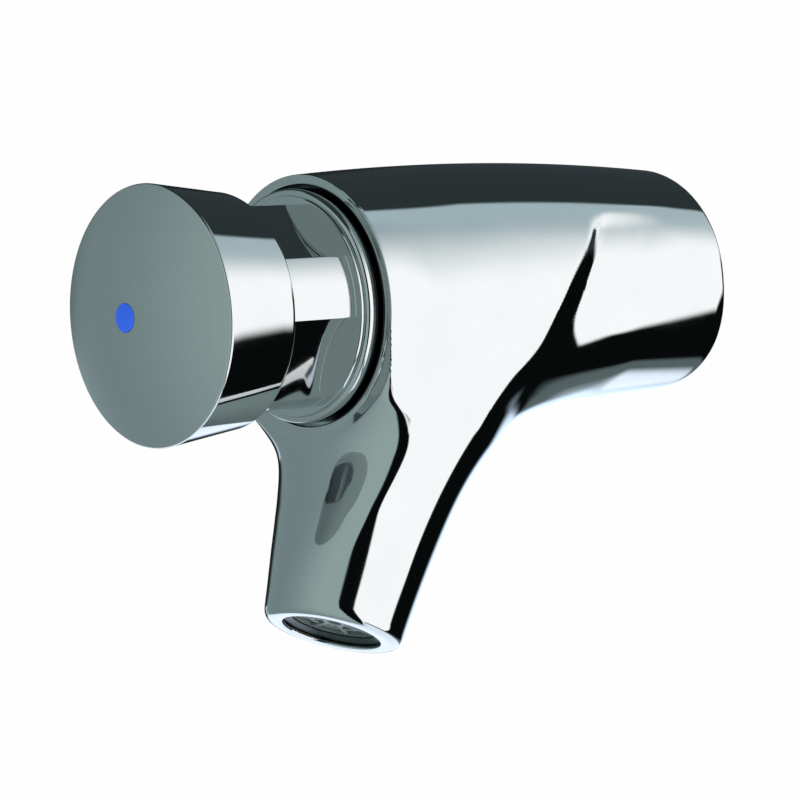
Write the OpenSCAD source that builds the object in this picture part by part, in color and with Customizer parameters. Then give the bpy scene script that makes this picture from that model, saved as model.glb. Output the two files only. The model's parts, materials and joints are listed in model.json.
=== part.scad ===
// Wall-mounted push timed tap: body with leaning spout, cap nut, push button,
// stem with timing piston and shut-off valve, return spring, aerator.
// Frame: wall plane at y = 0, button axis along -Y, Z up, threaded tail into +Y.
// Sizes in millimetres. In this file h is the distance from the wall, so y = -h.

/* [Body] */
// Distance from the wall to the flat mouth of the body
body_len = 87.1; // [86:0.1:90]
// Height of the barrel's top line over the axis at the wall
wall_top = 22.1; // [21.6:0.1:23]
// Depth of the barrel's underside below the axis at the wall
wall_under = 20.9; // [20.6:0.1:22]
// Half width of the barrel at the wall
wall_half = 22; // [21.6:0.1:23]
// Radius of the round mouth
mouth_r = 23.2; // [22.9:0.1:24]
// Rise of the top line between wall and mouth
crown = 1.7; // [0.5:0.1:2.5]
// Distance of the flank crease from the wall at axis height
crease_h = 37.3; // [32:0.1:44]

/* [Spout] */
// Distance from the wall to the centre of the outlet
outlet_reach = 88.6; // [86:0.1:92]
// Depth of the outlet centre below the axis
outlet_drop = 58; // [55:0.5:62]
// Forward lean of the spout axis from the vertical, degrees
spout_tilt = 26; // [23:0.5:28]
// Outer radius of the spout at the outlet
outlet_r = 12.3; // [12:0.1:13]
// Bore of the outlet that takes the aerator
aerator_d = 19; // [18.6:0.1:19.4]

/* [Inlet tail] */
// Outside diameter of the G 1/2 thread
tail_d = 20.955; // [20.955:0.001:21]
// Length of the threaded tail behind the wall plane
tail_len = 15; // [12:0.5:20]
// Bore of the tail
inlet_d = 14; // [12:0.5:15]

/* [Cap nut] */
// Diameter of the neck
neck_d = 36; // [35:0.5:36.5]
// Spanner size across the flats
flats_af = 32; // [30:0.5:33]
// Turn of the flats about the axis, degrees
flats_turn = 51; // [0:1:90]
// Diameter of the flange
flange_d = 41.5; // [41:0.1:42]
// Height of the flange above the mouth plane
flange_proud = 3.2; // [2.5:0.1:4]
// Length of neck seen between flange and button
neck_show = 15.7; // [14:0.1:18]
// Outside diameter of the thread in the mouth
nut_thread_d = 38.5; // [38:0.1:38.8]

/* [Button] */
// Diameter of the rim
button_d = 45; // [44:0.5:47]
// Diameter of the rear edge
button_rear_d = 41.3; // [41:0.1:42]
// Length from the rear edge to the rim
button_len = 15.5; // [15:0.1:18]
// Height of the domed face over the rim
dome_h = 5.5; // [4.5:0.1:7]
// Diameter of the colour marker
marker_d = 5.2; // [4:0.1:7]
// Travel of the button
stroke = 10; // [8:0.5:10]

/* [Stem and valve] */
// Diameter of the stem at the button end
stem_d = 8; // [7.5:0.1:8.5]
// Diameter of the stem behind the piston
stem_rear_d = 6.4; // [6:0.1:6.8]
// Bore of the timing chamber
chamber_d = 30.4; // [29.6:0.1:31]
// Outside diameter of the cartridge sleeve
sleeve_d = 34.2; // [34:0.1:34.6]
// Bore of the cartridge sleeve
sleeve_bore = 27.6; // [27:0.1:28]
// Outside diameter of the shut-off valve
valve_d = 23; // [21:0.5:24]
// Bore of the valve seat
seat_d = 16; // [14:0.5:17]
// Wire of the return spring
spring_wire = 1.6; // [1.4:0.1:1.7]
// Mean diameter of the return spring
spring_d = 22; // [20.5:0.5:23]

/* [Clearances] */
// Radial gap between the button and the neck
slide_gap = 0.3; // [0.3:0.05:0.4]
// Radial running fit of stem and piston
run_fit = 0.05; // [0.02:0.01:0.08]
// Radial gap seen between flange and mouth
mouth_gap = 0.65; // [0.3:0.05:1]
// Radial gap of pieces that are put together and stay
seat_gap = 0.05; // [0.02:0.01:0.1]

/* [Hidden] */
$fn = 96;
tail_r = tail_d / 2;
inlet_r = inlet_d / 2;
neck_r = neck_d / 2;
flange_r = flange_d / 2;
nut_r = nut_thread_d / 2;
button_r = button_d / 2;
button_rear_r = button_rear_d / 2;
marker_r = marker_d / 2;
stem_r = stem_d / 2;
stem_rear_r = stem_rear_d / 2;
chamber_r = chamber_d / 2;
sleeve_r = sleeve_d / 2;
bore_r = sleeve_r + seat_gap;
sleeve_in_r = sleeve_bore / 2;
valve_r = valve_d / 2;
seat_r = seat_d / 2;
wire_r = spring_wire / 2;
spring_r = spring_d / 2;
aerator_r = aerator_d / 2;

// mouth, flange and thread
cbore_floor = body_len - 2.1;
gasket_t = 1;
flat_foot = 0.45;
flange_rear = cbore_floor + gasket_t;
flange_front = body_len + flange_proud;
nut_rear = cbore_floor - 11.8;

// button, neck and front wall of the timing chamber
button_rear = flange_front + neck_show;
button_rim = button_rear + button_len;
button_apex = button_rim + dome_h;
rim_chamfer = 0.8;
rim_in_r = button_r - rim_chamfer / 2;
dome_r = (rim_in_r * rim_in_r + dome_h * dome_h) / (2 * dome_h);
neck_front = button_rear + 3;
button_floor = neck_front + stroke + 1;
marker_t = 1.2;
chamber_front = neck_front - 4;
bush_r = stem_r + 2;
bush_flange_r = stem_r + 4;
bush_rear = chamber_front - 1;
wiper_r = 0.75;
wiper_depth = 2;
wiper_seat_r = stem_r + 2 * wiper_r + 2 * run_fit;

// piston and its seal
piston_front = bush_rear - slide_gap;
piston_len = 6.2;
piston_rear = piston_front - piston_len;
piston_r = chamber_r - 0.4;
seal_seat_r = chamber_r - 3.2;
seal_r = chamber_r - run_fit;
shoulder_h = piston_front - 1.2;
clip_t = 0.8;
clip_out_r = stem_rear_r + 2.4;
clip_mouth = 3.2;

// cartridge
sleeve_gasket_t = 1.2;
sleeve_front = nut_rear - sleeve_gasket_t;
partition_t = 3;
spring_washer_t = 0.8;
spring_rear = sleeve_front + spring_washer_t;
seat_lip = sleeve_front - 33;
sleeve_rear = seat_lip + 1.4;
seat_front = sleeve_rear + 3.6;
seat_out_r = sleeve_in_r + 1.1;
groove_r = sleeve_r - 1.7;
o_ring_r = (bore_r - groove_r) / 2 - 0.02;
o_ring_mid = groove_r + o_ring_r + 0.02;
o_ring_w = 2.4;
o_ring_rear_h = sleeve_rear + 5;
o_ring_front_h = sleeve_front - 5;
window_h = (o_ring_rear_h + o_ring_front_h) / 2;
window_r = 4.6;
jet_at = 6.8;
jet_r = 2;
stem_seal_r = 0.78;
stem_seal_mid = stem_rear_r + run_fit + stem_seal_r;
stem_seal_seat = stem_seal_mid + stem_seal_r + seat_gap;

// shut-off valve
washer_front = seat_lip - slide_gap;
washer_t = 3;
holder_floor = washer_front - washer_t;
holder_front = washer_front - 0.5;
holder_rear = holder_floor - 3.2;
washer_r = valve_r - 0.9;
valve_thread_r = 2.5;
valve_nut_t = 4;
stem_end = holder_rear - valve_nut_t - 1.3;
valve_room_rear = stem_end - stroke - 3;
valve_room_r = bore_r - 1.7;

// inlet fittings
restrictor_front = 5;
restrictor_t = 4;
strainer_r = inlet_r - seat_gap;

// aerator, measured up the spout from the outlet plane
aerator_ledge = 11;
housing_r = aerator_r - seat_gap;
housing_in_r = housing_r - 0.85;
housing_low = 0.8;
housing_top = 9;
housing_lip = 1.2;
star_r = housing_in_r - seat_gap;
star_low = housing_low + housing_lip;
star_t = 3.2;
screen_low = star_low + star_t;
screen_t = 0.6;
channel_r = 6.4;

// form of the casting
eye_h = 58;
skin_over = 8;
mouth_step = 0.4;
side_steps = 34;
wall_side_bow = 0.3;
front_bend_z = -mouth_r;
flare_start = 23.5;
flare_gain = 0.00042;
flare_most = 21.5;
fullness = 0.33;
belly = 7;
crease_lean = 0.8;
crease_w = 4.4;
dent = 0.8;
cheek_most = 4;
swell_rate = 0.06;
front_slope = (outlet_reach + outlet_r * cos(spout_tilt) - body_len)
    / (front_bend_z + outlet_drop - outlet_r * sin(spout_tilt));

// smooth step from 0 at a to 1 at b
function step01(a, b, v) = let (t = max(0, min(1, (v - a) / (b - a)))) t * t * (3 - 2 * t);
// value that levels off at m
function level(v, m) = v / pow(1 + pow(v / m, 3), 1 / 3);
// hinge: 0 for v well under 0, v for v well over 0, rounded over w
function hinge(v, w) = (v + sqrt(v * v + w * w)) / 2;
// union of two distances with a fillet of radius r
function join(a, b, r) = max(r, min(a, b)) - norm([max(r - a, 0), max(r - b, 0)]);
// intersection of two distances with an edge of radius r
function common(a, b, r) = min(-r, max(a, b)) + norm([max(a + r, 0), max(b + r, 0)]);

// distance from the barrel: crowned on top, fuller below toward the wall, round at the mouth
function barrel(x, h, z) =
    let (t = h / body_len,
        top = wall_top + (mouth_r - wall_top) * t + 4 * crown * t * (1 - t),
        under = wall_under + (mouth_r - wall_under) * pow(max(t, 0), 3),
        half = wall_half + (mouth_r - wall_half) * t + 4 * wall_side_bow * t * (1 - t),
        rise = (top - under) / 2,
        tall = (top + under) / 2,
        n = 2 + (z < rise ? fullness * max(0, min(1, 1 - t)) : 0))
    (pow(pow(abs(x) / half, n) + pow(abs(z - rise) / tall, n), 1 / n) - 1) * min(half, tall);

// distance ahead of the front face, which runs from the mouth down the front of the spout
function front_face(h, z) =
    let (bow = front_slope * hinge(front_bend_z - z, 4) + belly * step01(-24, -48, z))
    (h - body_len - bow) / 1.05 + 0.5;

// distance from the spout: round at the outlet, fuller and squarer upward, flared behind
function spout(x, h, z) =
    let (dh = h - outlet_reach,
        dz = z + outlet_drop,
        up = dz * cos(spout_tilt) - dh * sin(spout_tilt),
        out = dh * cos(spout_tilt) + dz * sin(spout_tilt),
        a = max(0, min(95, up)),
        fore = outlet_r + 0.13 * a + 0.06 * pow(max(a - 20, 0), 2),
        flare = level(flare_gain * pow(max(a - flare_start, 0), 3), flare_most),
        aft = outlet_r + 0.085 * a + flare,
        half = outlet_r + 0.12 * a + 0.28 * hinge(a - 27, 8),
        n = 2 + (out > 0 ? 1.4 : 0.6) * step01(5, 60, a),
        deep = out > 0 ? fore : aft,
        d = (pow(pow(abs(x) / half, n) + pow(abs(out) / deep, n), 1 / n) - 1) * min(half, deep),
        corner = 1.5 + 2.5 * step01(-4, -20, z) + 7 * step01(-20, -40, z))
    max(common(d, front_face(h, z), corner), -skin_over - up);

// distance from the whole casting: barrel, cheeks in front of the flank crease and spout
function casting(x, h, z) =
    let (round = barrel(x, h, z),
        s = (h - crease_h + crease_lean * z) * cos(atan(crease_lean)),
        w = crease_w + 0.1 * max(4 - z, 0),
        ahead = step01(0, w, s),
        cheek = level(0.0072 * pow(max(13.5 - z, 0), 2), cheek_most)
            * step01(body_len - 0.5, body_len - 12, h) * ahead,
        groove = dent * step01(-16, 0, s) * (1 - ahead) * step01(13, 9, z) * step01(-12, -2, z),
        swell = swell_rate * h * step01(0, -14, z) * step01(-24, -14, z) * (1 - ahead),
        body = max(round - swell - cheek + groove, h - body_len + mouth_step, -skin_over - h),
        wide = 0.03 * pow(max(-13 - z, 0), 2),
        bulge = 0.009 * pow(max(8 - z, 0), 2) + wide - 2.5 * step01(-8, 10, z),
        low = 0.02 * pow(max(-9 - z, 0), 2) + wide - 1.5 * step01(-16, -6, z),
        onto = step01(-4, w + 2, s),
        cap = round - bulge * onto - low * (1 - onto),
        edge = 1 + 3 * step01(body_len - 3, body_len - 17, h) + 2 * (1 - onto),
        leg = common(spout(x, h, z), cap, edge))
    max(join(body, leg, 1.5 + 4.5 * step01(-4, -16, z)), front_face(h, z));

// length of the ray from the eye point inside the casting to its skin
function reach(d, near, far, n) =
    let (m = (near + far) / 2)
    n == 0 ? m
    : casting(m * d[0], eye_h + m * d[1], m * d[2]) < 0 ? reach(d, m, far, n - 1)
    : reach(d, near, m, n - 1);

// polar angles of the rings, measured from the button axis
rim_angle = atan2(mouth_r, body_len - mouth_step - eye_h);
wall_angle = atan2(wall_under, -eye_h - 1);
rings = concat([14, 27, rim_angle], [for (i = [1 : 20]) rim_angle + 36 * i / 20],
    [for (i = [1 : 19]) rim_angle + 36 + 65 * i / 19],
    [for (i = [1 : 4]) rim_angle + 101 + (wall_angle - rim_angle - 101) * i / 4]);

// azimuth of a column, closer together under the barrel
function column(u) = 90 - 180 * (1.55 * u - 0.55 * u * u);

function skin_point(polar, azimuth) =
    let (d = [sin(polar) * cos(azimuth), cos(polar), sin(polar) * sin(azimuth)],
        r = reach(d, 8, 100, 16))
    [r * d[0], -(eye_h + r * d[1]), r * d[2]];

// closed skin of the casting, overshooting the wall and outlet planes
module casting_skin() {
    right = [for (p = rings) [for (j = [0 : side_steps]) skin_point(p, column(j / side_steps))]];
    loop = 2 * side_steps;
    last = len(rings) - 1;
    rows = [for (r = right)
        concat(r, [for (j = [side_steps - 1 : -1 : 1]) [-r[j][0], r[j][1], r[j][2]]])];
    front = [0, mouth_step - body_len, 0];
    back = [0, skin_over, 0];
    points = concat([for (r = rows) for (p = r) p], [front, back]);
    n = len(points);
    sides = [for (i = [0 : last - 1]) for (j = [0 : loop - 1])
        let (k = (j + 1) % loop, a = i * loop + j, b = i * loop + k)
        each [[a, b + loop, b], [a, a + loop, b + loop]]];
    caps = [for (j = [0 : loop - 1])
        let (k = (j + 1) % loop)
        each [[n - 2, j, k], [n - 1, last * loop + k, last * loop + j]]];
    polyhedron(points = points, faces = concat(sides, caps), convexity = 8);
}

// put a shape whose Z is the distance from the wall onto the button axis
module on_axis() {
    rotate([90, 0, 0]) children();
}

// put a shape whose Z runs up the spout onto the outlet
module at_outlet() {
    translate([0, -outlet_reach, -outlet_drop]) rotate([-spout_tilt, 0, 0]) children();
}

// rod on the button axis from h0 to h1
module rod(r, h0, h1) {
    translate([0, 0, h0]) cylinder(r = r, h = h1 - h0);
}

// ring on the button axis from h0 to h1
module tube(r_out, r_in, h0, h1) {
    difference() {
        rod(r_out, h0, h1);
        rod(r_in, h0 - 1, h1 + 1);
    }
}

// O-ring with its middle circle at height h
module o_ring(mid, r, h) {
    translate([0, 0, h]) rotate_extrude() translate([mid, 0]) circle(r = r, $fn = 48);
}

module body_casting() {
    channel_low = 8;
    low_h = outlet_reach - channel_low * sin(spout_tilt);
    low_z = -outlet_drop + channel_low * cos(spout_tilt);
    dh = low_h - window_h;
    dz = -12 - low_z;
    color([0.82, 0.84, 0.86]) difference() {
        union() {
            difference() {
                casting_skin();
                translate([-60, 0, -60]) cube([120, 20, 120]);
                at_outlet() translate([-30, -30, -20]) cube([60, 60, 20]);
            }
            on_axis() rod(tail_r, -tail_len, 4);
            on_axis() rod(mouth_r - mouth_step, cbore_floor - 4, body_len);
        }
        on_axis() {
            rod(flange_r + mouth_gap, cbore_floor, flange_front);
            rod(nut_r + seat_gap, nut_rear - 0.2, cbore_floor + 1);
            rod(bore_r, sleeve_rear, nut_rear);
            rod(bore_r + 1.5, window_h - window_r - 2, window_h + window_r + 2);
            rod(valve_room_r, valve_room_rear, sleeve_rear + 1);
            rod(inlet_r - 1, 0, valve_room_rear + 1);
            rod(inlet_r, -tail_len - 1, restrictor_front);
        }
        translate([0, -low_h, low_z]) rotate([-atan2(dh, dz), 0, 0])
            cylinder(r = channel_r, h = norm([dh, dz]));
        at_outlet() translate([0, 0, -1]) cylinder(r = aerator_r, h = aerator_ledge + 1);
    }
}

module cap_nut() {
    foot = [flats_af / 2 + flat_foot, flange_front];
    color([0.80, 0.82, 0.84]) on_axis() difference() {
        rotate_extrude() polygon([
            [chamber_r, nut_rear], [nut_r, nut_rear], [nut_r, flange_rear],
            [flange_r, flange_rear], [flange_r, flange_front - 1], [flange_r - 0.8, flange_front],
            [neck_r, flange_front], [neck_r, neck_front - 0.8], [neck_r - 0.8, neck_front],
            [bush_r + seat_gap, neck_front], [bush_r + seat_gap, chamber_front],
            [chamber_r, chamber_front]]);
        for (i = [0 : 3]) rotate([0, 0, flats_turn + 90 * i]) translate([0, 20, 0]) rotate([90, 0, 0])
            linear_extrude(40) polygon([foot, [flats_af / 2, flange_front + flat_foot],
                [flats_af / 2, neck_front + 1], [flange_r, neck_front + 1], [flange_r, flange_front]]);
    }
}

module cap_gasket() {
    color([0.12, 0.12, 0.12]) on_axis() tube(flange_r, nut_r + seat_gap, cbore_floor, flange_rear);
}

module stem_bush() {
    color([0.92, 0.91, 0.86]) on_axis() difference() {
        union() {
            rod(bush_r, bush_rear, neck_front);
            rod(bush_flange_r, bush_rear, chamber_front);
        }
        rod(stem_r + run_fit, bush_rear - 1, neck_front + 1);
        rod(wiper_seat_r, neck_front - wiper_depth, neck_front + 1);
    }
}

module stem_wiper() {
    color([0.10, 0.10, 0.10]) on_axis()
        o_ring(stem_r + run_fit + wiper_r, wiper_r, neck_front - wiper_depth + wiper_r);
}

module cartridge_sleeve() {
    color([0.78, 0.66, 0.36]) on_axis() difference() {
        rod(sleeve_r, sleeve_rear, sleeve_front);
        rod(sleeve_in_r, sleeve_rear - 1, sleeve_front - partition_t);
        rod(seat_out_r + seat_gap, sleeve_rear - 1, seat_front);
        rod(stem_rear_r + run_fit, sleeve_front - partition_t - 1, sleeve_front + 1);
        rod(stem_seal_seat, sleeve_front - 2 * stem_seal_r, sleeve_front + 1);
        translate([0, jet_at, 0]) rod(jet_r + seat_gap, sleeve_front - partition_t - 1, sleeve_front + 1);
        for (h = [o_ring_rear_h, o_ring_front_h])
            tube(sleeve_r + 1, groove_r, h - o_ring_w / 2, h + o_ring_w / 2);
        for (i = [0 : 5]) translate([0, 0, window_h]) rotate([0, 0, 60 * i]) rotate([90, 0, 0])
            cylinder(r = window_r, h = sleeve_r + 1);
    }
}

module sleeve_gasket() {
    color([0.12, 0.12, 0.12]) on_axis() tube(sleeve_r, chamber_r, sleeve_front, nut_rear);
}

module sleeve_o_ring_front() {
    color([0.10, 0.10, 0.10]) on_axis() o_ring(o_ring_mid, o_ring_r, o_ring_front_h);
}

module sleeve_o_ring_rear() {
    color([0.10, 0.10, 0.10]) on_axis() o_ring(o_ring_mid, o_ring_r, o_ring_rear_h);
}

module valve_seat() {
    color([0.75, 0.76, 0.78]) on_axis() difference() {
        union() {
            rod(seat_out_r, sleeve_rear, seat_front);
            rod(seat_r + 1.2, seat_lip, seat_front);
        }
        rod(seat_r, seat_lip - 1, seat_front + 1);
    }
}

module timing_jet() {
    color([0.80, 0.68, 0.38]) on_axis() translate([0, jet_at, 0]) difference() {
        rod(jet_r, sleeve_front - partition_t, sleeve_front);
        rod(0.3, sleeve_front - partition_t - 1, sleeve_front + 1, $fn = 24);
        rod(1, sleeve_front - 1.4, sleeve_front + 1);
    }
}

module partition_seal() {
    color([0.10, 0.10, 0.10]) on_axis() o_ring(stem_seal_mid, stem_seal_r, sleeve_front - stem_seal_r);
}

module spring_washer() {
    color([0.72, 0.73, 0.75]) on_axis() difference() {
        rod(spring_r + 2, sleeve_front, spring_rear);
        rod(stem_rear_r + slide_gap, sleeve_front - 1, spring_rear + 1);
        translate([0, jet_at, 0]) rod(jet_r + 0.3, sleeve_front - 1, spring_rear + 1);
    }
}

// wire wound round the axis, its end coils lying closer than the rest
module return_spring() {
    turns = 6;
    around = 32;
    sides = 10;
    steps = turns * around;
    low = spring_rear + wire_r;
    lift = piston_rear - wire_r - low;
    points = [for (i = [0 : steps]) for (j = [0 : sides - 1])
        let (a = 360 * i / around,
            b = 360 * j / sides,
            r = spring_r + wire_r * cos(b),
            h = low + lift * step01(0, steps, i) + wire_r * sin(b))
        [r * cos(a), -h, r * sin(a)]];
    walls = [for (i = [0 : steps - 1]) for (j = [0 : sides - 1])
        let (k = (j + 1) % sides, p = i * sides + j, q = i * sides + k)
        each [[p, q, q + sides], [p, q + sides, p + sides]]];
    ends = [[for (j = [sides - 1 : -1 : 0]) j], [for (j = [0 : sides - 1]) steps * sides + j]];
    color([0.70, 0.71, 0.73]) polyhedron(points = points, faces = concat(walls, ends), convexity = 10);
}

module inlet_strainer() {
    color([0.70, 0.71, 0.72]) on_axis() difference() {
        union() {
            rod(strainer_r, -tail_len, 1 - tail_len);
            rod(strainer_r - 1.2, -tail_len, -2);
        }
        rod(strainer_r - 1.8, -tail_len - 1, -2.6);
        for (i = [0 : 7]) for (h = [2.6 - tail_len, 6.8 - tail_len])
            rotate([0, 0, 45 * i]) translate([-0.6, 0, h]) cube([1.2, inlet_r, 3.4]);
    }
}

module flow_restrictor() {
    color([0.85, 0.85, 0.80]) on_axis() difference() {
        rod(strainer_r, restrictor_front - restrictor_t, restrictor_front);
        for (i = [0 : 5]) rotate([0, 0, 60 * i]) translate([3.4, 0, 0]) rod(0.9, 0, restrictor_front + 1);
        rod(1.1, 0, restrictor_front + 1);
    }
}

module aerator_housing() {
    color([0.80, 0.82, 0.84]) at_outlet() difference() {
        translate([0, 0, housing_low]) cylinder(r = housing_r, h = housing_top - housing_low);
        translate([0, 0, star_low]) cylinder(r = housing_in_r, h = housing_top);
        cylinder(r = housing_in_r - 0.7, h = housing_top);
    }
}

module aerator_star() {
    spokes = 8;
    color([0.55, 0.57, 0.58]) at_outlet() translate([0, 0, star_low]) {
        difference() {
            cylinder(r = star_r, h = star_t);
            translate([0, 0, -1]) cylinder(r = star_r - 0.8, h = star_t + 2);
        }
        difference() {
            union() {
                cylinder(r = 2.2, h = star_t);
                for (i = [0 : spokes - 1]) rotate([0, 0, 360 * i / spokes]) translate([0, -0.4, 0])
                    cube([star_r - 0.4, 0.8, star_t]);
            }
            translate([0, 0, -1]) cylinder(r = 1.2, h = star_t + 2);
        }
    }
}

module aerator_screen() {
    color([0.62, 0.63, 0.64]) at_outlet() translate([0, 0, screen_low]) difference() {
        cylinder(r = star_r, h = screen_t);
        for (k = [1 : 3]) for (i = [0 : 6 * k - 1])
            rotate([0, 0, 360 * i / (6 * k)]) translate([2.2 * k, 0, -1])
            cylinder(r = 0.7, h = screen_t + 2, $fn = 24);
    }
}

module aerator_washer() {
    color([0.12, 0.12, 0.12]) at_outlet() translate([0, 0, housing_top]) difference() {
        cylinder(r = housing_r, h = aerator_ledge - housing_top);
        translate([0, 0, -1]) cylinder(r = channel_r + 0.2, h = 6);
    }
}

module push_button() {
    color([0.66, 0.68, 0.69]) on_axis() difference() {
        union() {
            rotate_extrude() polygon([
                [0, button_rear], [button_rear_r - 0.6, button_rear], [button_rear_r, button_rear + 0.6],
                [button_r, button_rim - rim_chamfer], [rim_in_r, button_rim], [0, button_rim]]);
            intersection() {
                translate([0, 0, button_apex - dome_r]) sphere(r = dome_r, $fn = 180);
                rod(rim_in_r, button_rim - 0.2, button_apex + 1);
            }
        }
        rod(neck_r + slide_gap, button_rear - 1, button_floor);
        rod(stem_r - 1 + seat_gap, button_floor - 1, button_floor + 4.8);
        rod(marker_r + seat_gap, button_apex - marker_t, button_apex + 1);
    }
}

module colour_marker() {
    color([0.22, 0.40, 0.84]) on_axis() rotate_extrude() polygon([
        [0, button_apex - marker_t], [marker_r, button_apex - marker_t], [marker_r, button_apex],
        [marker_r - 0.5, button_apex + 0.3], [0, button_apex + 0.4]]);
}

module lock_washer() {
    color([0.72, 0.73, 0.75]) on_axis()
        tube(stem_r + 2, stem_r - 1 + seat_gap, button_floor - 0.8, button_floor);
}

module stem() {
    color([0.74, 0.75, 0.77]) on_axis() difference() {
        union() {
            rod(stem_r - 1, button_floor - 0.8, button_floor + 4.4);
            rod(stem_r, shoulder_h, button_floor - 0.8);
            rod(stem_rear_r, holder_floor, shoulder_h);
            rod(valve_thread_r, stem_end, holder_floor);
        }
        tube(stem_r + 1, stem_rear_r - 0.6, piston_rear - clip_t - 0.1, piston_rear);
    }
}

module piston() {
    color([0.90, 0.90, 0.87]) on_axis() difference() {
        rod(piston_r, piston_rear, piston_front);
        rod(stem_rear_r + seat_gap, piston_rear - 1, shoulder_h);
        rod(stem_r + seat_gap, shoulder_h, piston_front + 1);
        tube(piston_r + 1, seal_seat_r, piston_rear + 1.4, piston_front - 1.6);
    }
}

module piston_lip_seal() {
    low = piston_rear + 1.4;
    high = piston_front - 1.6;
    mid = (seal_seat_r + seal_r) / 2;
    color([0.14, 0.14, 0.14]) on_axis() rotate_extrude() polygon([
        [seal_seat_r, low], [mid - 0.5, low], [mid, low + 1.6], [seal_r - 0.4, low],
        [seal_r, low + 0.3], [seal_r - 0.3, high], [seal_seat_r, high]]);
}

module piston_circlip() {
    color([0.55, 0.56, 0.58]) on_axis() difference() {
        tube(clip_out_r, stem_rear_r - 0.6 + seat_gap, piston_rear - clip_t, piston_rear);
        translate([-clip_mouth / 2, 0, piston_rear - 2 * clip_t])
            cube([clip_mouth, clip_out_r + 1, 3 * clip_t]);
    }
}

module valve_holder() {
    color([0.78, 0.66, 0.36]) on_axis() difference() {
        rod(valve_r, holder_rear, holder_front);
        rod(washer_r + seat_gap, holder_floor, holder_front + 1);
        rod(valve_thread_r + seat_gap, holder_rear - 1, holder_floor + 1);
    }
}

module valve_washer() {
    color([0.12, 0.12, 0.12]) on_axis() tube(washer_r, stem_rear_r + seat_gap, holder_floor, washer_front);
}

module valve_nut() {
    color([0.72, 0.73, 0.75]) on_axis() translate([0, 0, holder_rear - valve_nut_t]) difference() {
        linear_extrude(valve_nut_t) circle(d = 8 / cos(30), $fn = 6);
        translate([0, 0, -valve_nut_t / 2]) cylinder(r = valve_thread_r + seat_gap, h = 2 * valve_nut_t);
    }
}

body_casting();
cap_nut();
cap_gasket();
stem_bush();
stem_wiper();
cartridge_sleeve();
sleeve_gasket();
sleeve_o_ring_front();
sleeve_o_ring_rear();
valve_seat();
timing_jet();
partition_seal();
spring_washer();
return_spring();
inlet_strainer();
flow_restrictor();
aerator_housing();
aerator_star();
aerator_screen();
aerator_washer();
push_button();
colour_marker();
lock_washer();
stem();
piston();
piston_lip_seal();
piston_circlip();
valve_holder();
valve_washer();
valve_nut();
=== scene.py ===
import json
import math

import bmesh
import bpy
import numpy as np
from mathutils import Matrix, Vector


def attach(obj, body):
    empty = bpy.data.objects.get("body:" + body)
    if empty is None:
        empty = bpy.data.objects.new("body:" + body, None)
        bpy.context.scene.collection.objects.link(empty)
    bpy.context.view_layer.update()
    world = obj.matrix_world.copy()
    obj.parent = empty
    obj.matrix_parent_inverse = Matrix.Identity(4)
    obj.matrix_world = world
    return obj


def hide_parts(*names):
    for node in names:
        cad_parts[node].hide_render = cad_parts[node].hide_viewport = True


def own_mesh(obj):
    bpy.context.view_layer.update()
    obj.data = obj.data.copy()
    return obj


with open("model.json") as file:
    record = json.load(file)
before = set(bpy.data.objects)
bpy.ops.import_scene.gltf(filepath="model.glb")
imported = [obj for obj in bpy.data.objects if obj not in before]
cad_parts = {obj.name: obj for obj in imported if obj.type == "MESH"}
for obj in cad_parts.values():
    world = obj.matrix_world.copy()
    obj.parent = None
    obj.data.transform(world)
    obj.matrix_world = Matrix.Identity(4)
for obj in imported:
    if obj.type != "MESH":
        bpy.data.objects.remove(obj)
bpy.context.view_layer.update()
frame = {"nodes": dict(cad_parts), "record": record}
nodes = frame["nodes"]
mm = 0.001
print("frame:", len(nodes), "nodes")


# camera of the photograph, fitted to the round edges of button, mouth and wall end
cameraSet = {
    "lens": 135.0,
    "sensor": 36.0,
    "azimuth": 48.01,
    "elevation": -0.68,
    "roll": -6.22,
    "place": (404.4, -430.4, -24.7),
}


def addCamera():
    turn, lift, roll = (math.radians(cameraSet[k]) for k in ("azimuth", "elevation", "roll"))
    back = Vector((math.sin(turn) * math.cos(lift), -math.cos(turn) * math.cos(lift), math.sin(lift)))
    side = Vector((math.cos(turn), math.sin(turn), 0))
    up = back.cross(side)
    right = math.cos(roll) * side + math.sin(roll) * up
    top = math.cos(roll) * up - math.sin(roll) * side
    bpy.ops.object.camera_add()
    camera = bpy.context.object
    camera.name = "photoCamera"
    pose = Matrix((right, top, back)).transposed().to_4x4()
    pose.translation = Vector(cameraSet["place"]) * mm
    camera.matrix_world = pose
    camera.data.lens = cameraSet["lens"]
    camera.data.sensor_width = cameraSet["sensor"]
    camera.data.clip_start = 0.01
    bpy.context.scene.camera = camera


def hexColour(code):
    channels = [int(code[i:i + 2], 16) / 255 for i in (1, 3, 5)]
    return [c / 12.92 if c <= 0.04045 else ((c + 0.055) / 1.055) ** 2.4 for c in channels] + [1.0]


def addNode(tree, kind, values=None, links=None, **settings):
    node = tree.nodes.new(kind)
    for name, value in settings.items():
        setattr(node, name, value)
    for key, value in (values or {}).items():
        node.inputs[key].default_value = value
    for key, source in (links or {}).items():
        tree.links.new(source, node.inputs[key])
    return node


def startMaterial(name):
    material = bpy.data.materials.new(name)
    material.use_nodes = True
    material.node_tree.nodes.clear()
    return material, material.node_tree


def deselectAll():
    if bpy.context.object and bpy.context.object.mode != "OBJECT":
        bpy.ops.object.mode_set(mode="OBJECT")
    bpy.ops.object.select_all(action="DESELECT")


def pickOnly(piece):
    deselectAll()
    piece.select_set(True)
    bpy.context.view_layer.objects.active = piece


def applyModifier(piece, kind, name, **settings):
    pickOnly(piece)
    modifier = piece.modifiers.new(name, kind)
    for key, value in settings.items():
        setattr(modifier, key, value)
    bpy.ops.object.modifier_apply(modifier=name)


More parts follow.
